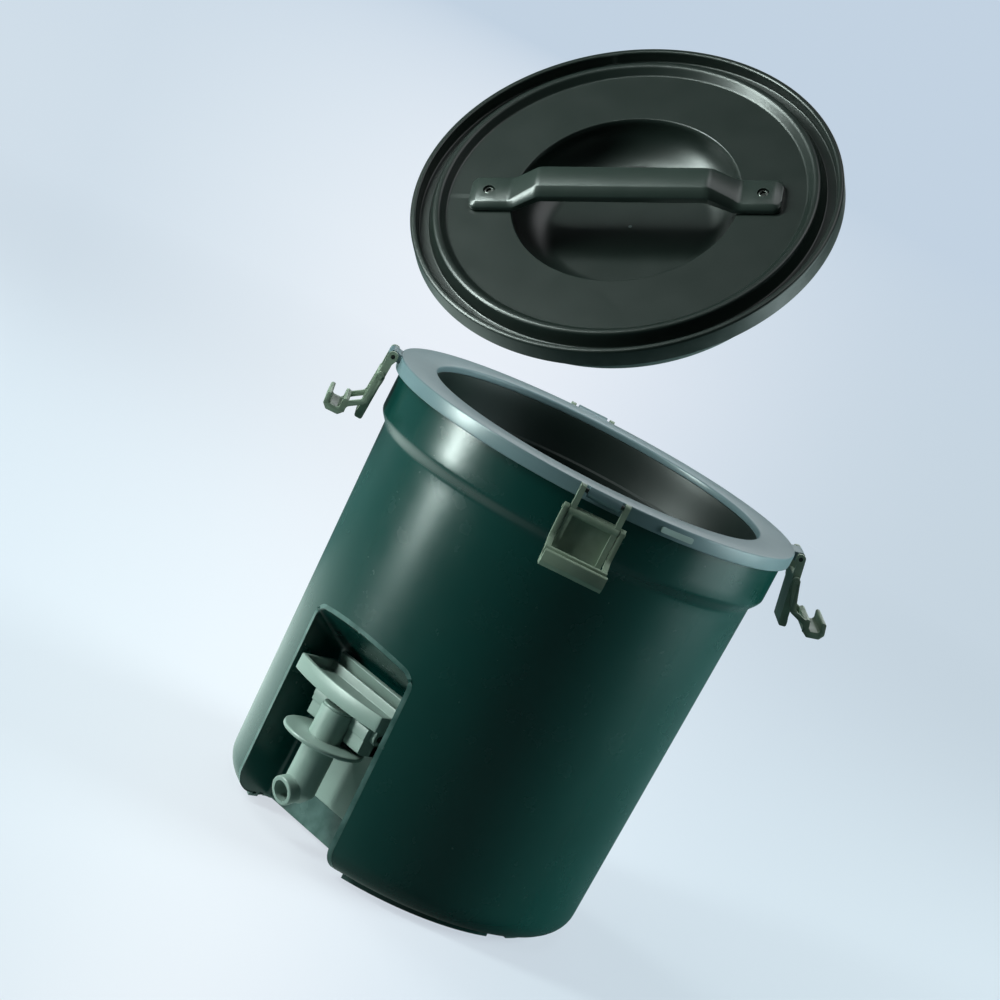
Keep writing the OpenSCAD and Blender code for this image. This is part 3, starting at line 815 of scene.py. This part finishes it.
def make_lid():
    """The lid's cover, with the plug, the gasket and a moulding mark on it, and then its handle."""
    place = lid_place()
    wall = 2.6
    bead_out, bead_in, bead_top, lip_in = LID_R - 12, LID_R - 22, LIP_H + 1, LID_R - 4
    outside = [
        (LID_R, 0, 0.8), (LID_R, LIP_H, 1.6), (lip_in, LIP_H, 1.3), (lip_in - 0.5, 4, 1.0),
        (bead_out + 0.9, 4, 1.0), (bead_out - 2.6, bead_top, 2.2), (bead_in + 3.4, bead_top - 0.2, 3.0),
        (bead_in - 0.6, FLAT_Z, 2.0), (WELL_R + 1.0, FLAT_Z, 0.8), (WELL_R + 0.2, FLAT_Z - 0.8)]
    inside = [
        (bead_in - 2, FLAT_Z - wall), (bead_in + 2, bead_top - wall), (bead_out - 5, bead_top - wall),
        (bead_out - 2.8, 0), (LID_R - 13, 0), (LID_R - 13, 1.2), (LID_R - 8, 1.2), (LID_R - 8, 0)]
    profile = rounded(outside, 7, False)[:-1]
    profile += well(0, 4) + [(0, -WELL_FLOOR), (0, -WELL_FLOOR - wall)] + well(wall, 6)[::-1] + inside
    profile = [profile[-1]] + profile[:-1]
    cover = object_of("lid_cover_finish", lathe(profile, 256))
    for side in (-1, 1):
        combined(cover, rod(2.1, 0.9, 12, 32, "Z", (side * SCREW_X, 0, 0)), "DIFFERENCE")
    finished(cover, LID, "lid", ["lid_cover"], place, 40)

    gate = lathe(rounded([(0, -0.6), (1.1, -0.6), (1.1, 0.25, 0.2), (0, 0.25)], 3, False), 24, False)
    gate = object_of("lid_gate_mark", moved(gate, Matrix.Translation((0, 0, -WELL_FLOOR))))
    finished(gate, PLUG, "lid", (), place)

    flange_r, plug_wall = LID_R - 15.2, 2.4
    plug = rounded([
        (0, -PLUG_DEPTH), (PLUG_FOOT_R, -PLUG_DEPTH, 4), (PLUG_R, 1.6), (flange_r, 1.6), (flange_r, 4.2),
        (PLUG_R - plug_wall, 4.2), (PLUG_FOOT_R - plug_wall, -PLUG_DEPTH + plug_wall, 2),
        (0, -PLUG_DEPTH + plug_wall)], 6, False)
    plug = object_of("lid_plug_finish", lathe(plug, 256, False))
    finished(plug, PLUG, "lid", ["lid_plug"], place)

    inner, outer = LID_R - 12.9, LID_R - 8.1
    seal = rounded([(inner, -0.22, 0.1), (outer, -0.22, 0.1), (outer, 1.1), (inner, 1.1)], 3)
    seal = object_of("lid_gasket_finish", lathe(seal, 256))
    finished(seal, SEAL, "lid", ["lid_gasket"], place)

    make_handle(place)


def make_handle(place):
    """A bar on two tabs, skinned through sections along it, with chamfered long edges."""
    half_l, half_w, corner = 98.5, 13.5, 5.0
    tab_top, bar_top = FLAT_Z + 6.1, FLAT_Z + 18.0
    under = FLAT_Z + 0.1
    bar_low = bar_top - 9.5
    top_line = rounded([(-half_l, tab_top), (-72.5, tab_top, 6), (-54, bar_top, 7), (54, bar_top, 7),
                        (72.5, tab_top, 6), (half_l, tab_top)], 7, False)
    low_line = rounded([(-half_l, under), (-69.5, under, 4), (-52, bar_low, 7), (52, bar_low, 7),
                        (69.5, under, 4), (half_l, under)], 7, False)

    def height(line, x):
        """A line's height at x."""
        for (x0, z0), (x1, z1) in zip(line, line[1:]):
            if x0 <= x <= x1 and x1 > x0:
                return z0 + (z1 - z0) * (x - x0) / (x1 - x0)
        return line[-1][1]

    # Sections stand close together in the rounded ends, and at each bend of the two lines
    end_steps = 8
    ends = []
    for k in range(end_steps + 1):
        ends.append(-half_l + corner * (1 - math.cos(math.pi / 2 * k / end_steps)))
    bends = {round(p[0], 3) for p in top_line + low_line if abs(p[0]) < half_l - corner}
    spine = sorted(bends | {-80.0, -64.0, -40.0, 0.0, 40.0, 64.0, 80.0})
    stations = ends + spine + [-x for x in reversed(ends)]
    sections = []
    for x in stations:
        gap = max(0.0, abs(x) - (half_l - corner))
        width = half_w - corner + math.sqrt(max(0.0, corner * corner - gap * gap))
        high, low = height(top_line, x), height(low_line, x)
        chamfer = min(5.4, (high - low) * 0.55)
        sink = 1.6 * gap / corner
        right = [(width - 0.6, low), (width, low + 0.6), (width, high - chamfer),
                 (width - 0.5, high - chamfer + 0.9), (width - chamfer + 0.6, high - 0.4 - sink),
                 (width - chamfer - 0.5, high - sink)]
        left = [(-y, z) for y, z in reversed(right)]
        sections.append([(x, y, z) for y, z in left[-1:] + right + left[:-1]])
    handle = object_of("lid_handle_finish", loft(sections))
    for side in (-1, 1):
        for radius, low in ((3.7, FLAT_Z + 3.1), (2.4, 0)):
            combined(handle, rod(radius, low, 40, 40, "Z", (side * SCREW_X, 0, 0)), "DIFFERENCE")
    finished(handle, HANDLE, "lid", ["lid_handle"], place, 30)

    screws = []
    head = rounded([(0, FLAT_Z + 3.2), (3.4, FLAT_Z + 3.2), (3.4, FLAT_Z + 5.0, 0.8),
                    (2.0, FLAT_Z + 5.3, 0.3), (1.9, FLAT_Z + 3.9), (0, FLAT_Z + 3.9)], 4, False)
    for side in (-1, 1):
        screws.append(moved(lathe(head, 40, False), Matrix.Translation((side * SCREW_X, 0, 0))))
        screws.append(rod(1.9, 1.5, FLAT_Z + 3.6, 32, "Z", (side * SCREW_X, 0, 0)))
    # The screw heads' very dark steel is painted shade, so that they read as dark holes.
    screws = object_of("handle_screws_finish", together(*screws))
    finished(screws, SHADE_DARKENED_STEEL, "lid", ["handle_screws"], place)


# ---- carried-over CAD pieces get materials ----

CARRIED = {
    "base_pan": GREEN, "insulation_foam": FOAM, "lid_foam": FOAM, "latch_pivot_pins": SHADE_DARKENED_STEEL,
    "tap_stem": SHADE_DARKENED_STEEL, "tap_seal": SEAL, "tap_spring": SHADE_DARKENED_STEEL, "tap_gasket": SEAL, "tap_nut": TAP,
    "tap_paddle_pin": SHADE_DARKENED_STEEL, "lid_vent_cap": VENT}
CARRIED.update({"hook_pin_" + name: LATCH for name in LATCHES})

for node, look in CARRIED.items():
    obj = frame["nodes"][node]
    if not obj.material_slots:
        obj.data.materials.append(look)
    for place in obj.material_slots:
        place.material = look

make_shell()
make_liner()
make_rim()
for latch in LATCHES:
    make_latch(latch)
make_tap()
make_lid()

# ---- floor, light and camera ----

BACKDROP = (0.54, 0.645, 0.76)


def mixed(tree, factor, first, second):
    """Mixes two shaders by a factor."""
    mix = tree.nodes.new("ShaderNodeMixShader")
    tree.links.new(factor, mix.inputs["Fac"])
    tree.links.new(first, mix.inputs[1])
    tree.links.new(second, mix.inputs[2])
    return mix.outputs[0]


def only_camera(tree, seen, unseen):
    """Mixes two shaders: what the camera sees directly, and what lights the object."""
    path = tree.nodes.new("ShaderNodeLightPath")
    return mixed(tree, path.outputs["Is Camera Ray"], unseen, seen)


def make_world():
    """The backdrop that the camera sees, and a faint light from all round."""
    bpy.context.scene.view_settings.view_transform = "Standard"
    world = bpy.data.worlds.new("studio")
    bpy.context.scene.world = world
    world.use_nodes = True
    tree = world.node_tree
    seen, unseen = tree.nodes["Background"], tree.nodes.new("ShaderNodeBackground")
    set_inputs(seen, {"Color": (*BACKDROP, 1), "Strength": 1.0})
    set_inputs(unseen, {"Color": (0.75, 0.88, 1, 1), "Strength": 0.025})
    surface = only_camera(tree, seen.outputs[0], unseen.outputs[0])
    tree.links.new(surface, tree.nodes["World Output"].inputs["Surface"])


def make_floor():
    """A floor with two looks.

    The camera sees a fan of pale colours, painted lighter on the side the light comes from and darker
    where the jug's shadow falls, that fades into the backdrop far off, and near the jug a share of plain
    floor that takes its real shadow. The jug is lit by a dark floor with one bright patch beside it.
    """
    bpy.ops.mesh.primitive_plane_add(size=400)
    floor = bpy.context.object
    floor.name = "studio_floor"
    look = bpy.data.materials.new("pale_floor")
    look.use_nodes = True
    tree = look.node_tree
    place = tree.nodes.new("ShaderNodeTexCoord").outputs["Object"]

    def distance(point):
        """How far a place on the floor is from a point."""
        node = tree.nodes.new("ShaderNodeVectorMath")
        node.operation = "DISTANCE"
        tree.links.new(place, node.inputs[0])
        node.inputs[1].default_value = point
        return node.outputs["Value"]

    def glowing(strength):
        """An emission shader."""
        node = tree.nodes.new("ShaderNodeEmission")
        node.inputs["Strength"].default_value = strength
        return node

    plain = tree.nodes["Principled BSDF"]
    set_inputs(plain, {"Base Color": (0.80, 0.85, 0.90, 1), "Roughness": 0.9, "Specular IOR Level": 0.0})
    turned = tree.nodes.new("ShaderNodeMapping")
    turned.vector_type = "TEXTURE"
    set_inputs(turned, {"Location": (1.254, -1.494, 0), "Rotation": (0, 0, math.radians(130))})
    tree.links.new(place, turned.inputs["Vector"])
    fan = tree.nodes.new("ShaderNodeTexGradient")
    fan.gradient_type = "RADIAL"
    tree.links.new(turned.outputs["Vector"], fan.inputs["Vector"])
    light_and_shade_ramp = tree.nodes.new("ShaderNodeValToRGB")
    ramp = light_and_shade_ramp.color_ramp
    ramp.interpolation = "B_SPLINE"
    # The stops paint light and shade: brightest at 0.60, a painted pool of light, and darker towards both
    # ends, with painted shade where the jug's shadow falls.
    stops = ((0.0, (0.56, 0.66, 0.74)), (0.22, (0.57, 0.67, 0.76)), (0.42, (0.72, 0.79, 0.88)),
             (0.60, (0.86, 0.90, 0.96)), (0.78, (0.76, 0.84, 0.91)), (1.0, (0.61, 0.71, 0.80)))
    while len(ramp.elements) < len(stops):
        ramp.elements.new(0.5)
    for element, (position, _) in zip(ramp.elements, stops):
        element.position = position
    for element, (_, colour) in zip(ramp.elements, stops):
        element.color = (*colour, 1)
    tree.links.new(ranged(tree, fan.outputs["Fac"], (0.474, 0.529), (0, 1)), light_and_shade_ramp.inputs["Fac"])
    away = distance((0, 0, 0))
    glow = glowing(1.0)
    far = ranged(tree, away, (3.0, 14.0), (0, 1))
    tree.links.new(blended(tree, far, light_and_shade_ramp.outputs["Color"], BACKDROP), glow.inputs["Color"])
    share = ranged(tree, away, (0.2, 2.2), (0.72, 1.0))
    seen = mixed(tree, share, plain.outputs[0], glow.outputs[0])

    dark = tree.nodes.new("ShaderNodeBsdfDiffuse")
    dark.inputs["Color"].default_value = (0.10, 0.16, 0.16, 1)
    bounce = glowing(1.5)
    bounce.inputs["Color"].default_value = (0.80, 1.0, 0.94, 1)
    patch = ranged(tree, distance((-0.36, -0.06, 0)), (0.16, 0.48), (1, 0))
    unseen = mixed(tree, patch, dark.outputs[0], bounce.outputs[0])
    surface = only_camera(tree, seen, unseen)
    tree.links.new(surface, tree.nodes["Material Output"].inputs["Surface"])
    floor.data.materials.append(look)


def softbox(name, azimuth, distance, height, width, tall, power, aim=(0, 0, 0.25), colour=(1, 1, 1),
            shade=True, shine=True):
    """A soft light at an azimuth from the tap's side, turned to the object. It can shade, shine or both."""
    light = bpy.data.lights.new(name, "AREA")
    light.shape = "RECTANGLE"
    light.size, light.size_y = width, tall
    light.energy = power
    light.color = colour
    obj = bpy.data.objects.new(name, light)
    angle = math.radians(azimuth)
    obj.location = (math.sin(angle) * distance, -math.cos(angle) * distance, height)
    obj.rotation_euler = (Vector(aim) - obj.location).to_track_quat("-Z", "Y").to_euler()
    obj.visible_camera = False
    obj.visible_diffuse = shade
    obj.visible_glossy = shine
    bpy.context.collection.objects.link(obj)


def make_lights():
    """Soft lights: the left side's and the right side's are split into shading and shine."""
    softbox("left_softbox", -31, 1.35, 0.5, 0.26, 1.8, 30, colour=(0.88, 1, 0.96))
    softbox("left_shine", -30, 1.35, 0.5, 0.22, 1.8, 46, colour=(0.84, 1, 0.95), shade=False)
    softbox("left_fill", -82, 1.5, 0.5, 0.5, 1.2, 20, colour=(0.90, 1, 0.97), shine=False)
    softbox("right_fill", 142, 1.6, 0.6, 0.9, 1.3, 44, colour=(0.90, 1, 0.98), shine=False)
    softbox("right_shine", 132, 1.6, 0.7, 1.2, 1.4, 20, colour=(0.80, 0.99, 1), shade=False)
    softbox("back_card", 215, 1.8, 1.3, 1.6, 1.0, 9, colour=(0.92, 0.98, 1))
    softbox("top_softbox", 20, 0.3, 2.3, 1.2, 1.2, 11, colour=(0.95, 0.98, 1))


def make_camera():
    azimuth, elevation, roll = math.radians(40), math.radians(10.25), math.radians(27.19)
    aim, distance = Vector((-0.044, -0.0156, 0.2452)), 2.0
    camera = bpy.data.cameras.new("camera")
    camera.lens = 107.2
    camera.sensor_width = 36
    obj = bpy.data.objects.new("camera", camera)
    turn = (Matrix.Rotation(azimuth, 4, "Z") @ Matrix.Rotation(math.pi / 2 - elevation, 4, "X")
            @ Matrix.Rotation(roll, 4, "Z"))
    obj.matrix_world = Matrix.Translation(aim) @ turn @ Matrix.Translation((0, 0, distance))
    bpy.context.collection.objects.link(obj)
    bpy.context.scene.camera = obj


make_world()
make_floor()
make_lights()
make_camera()
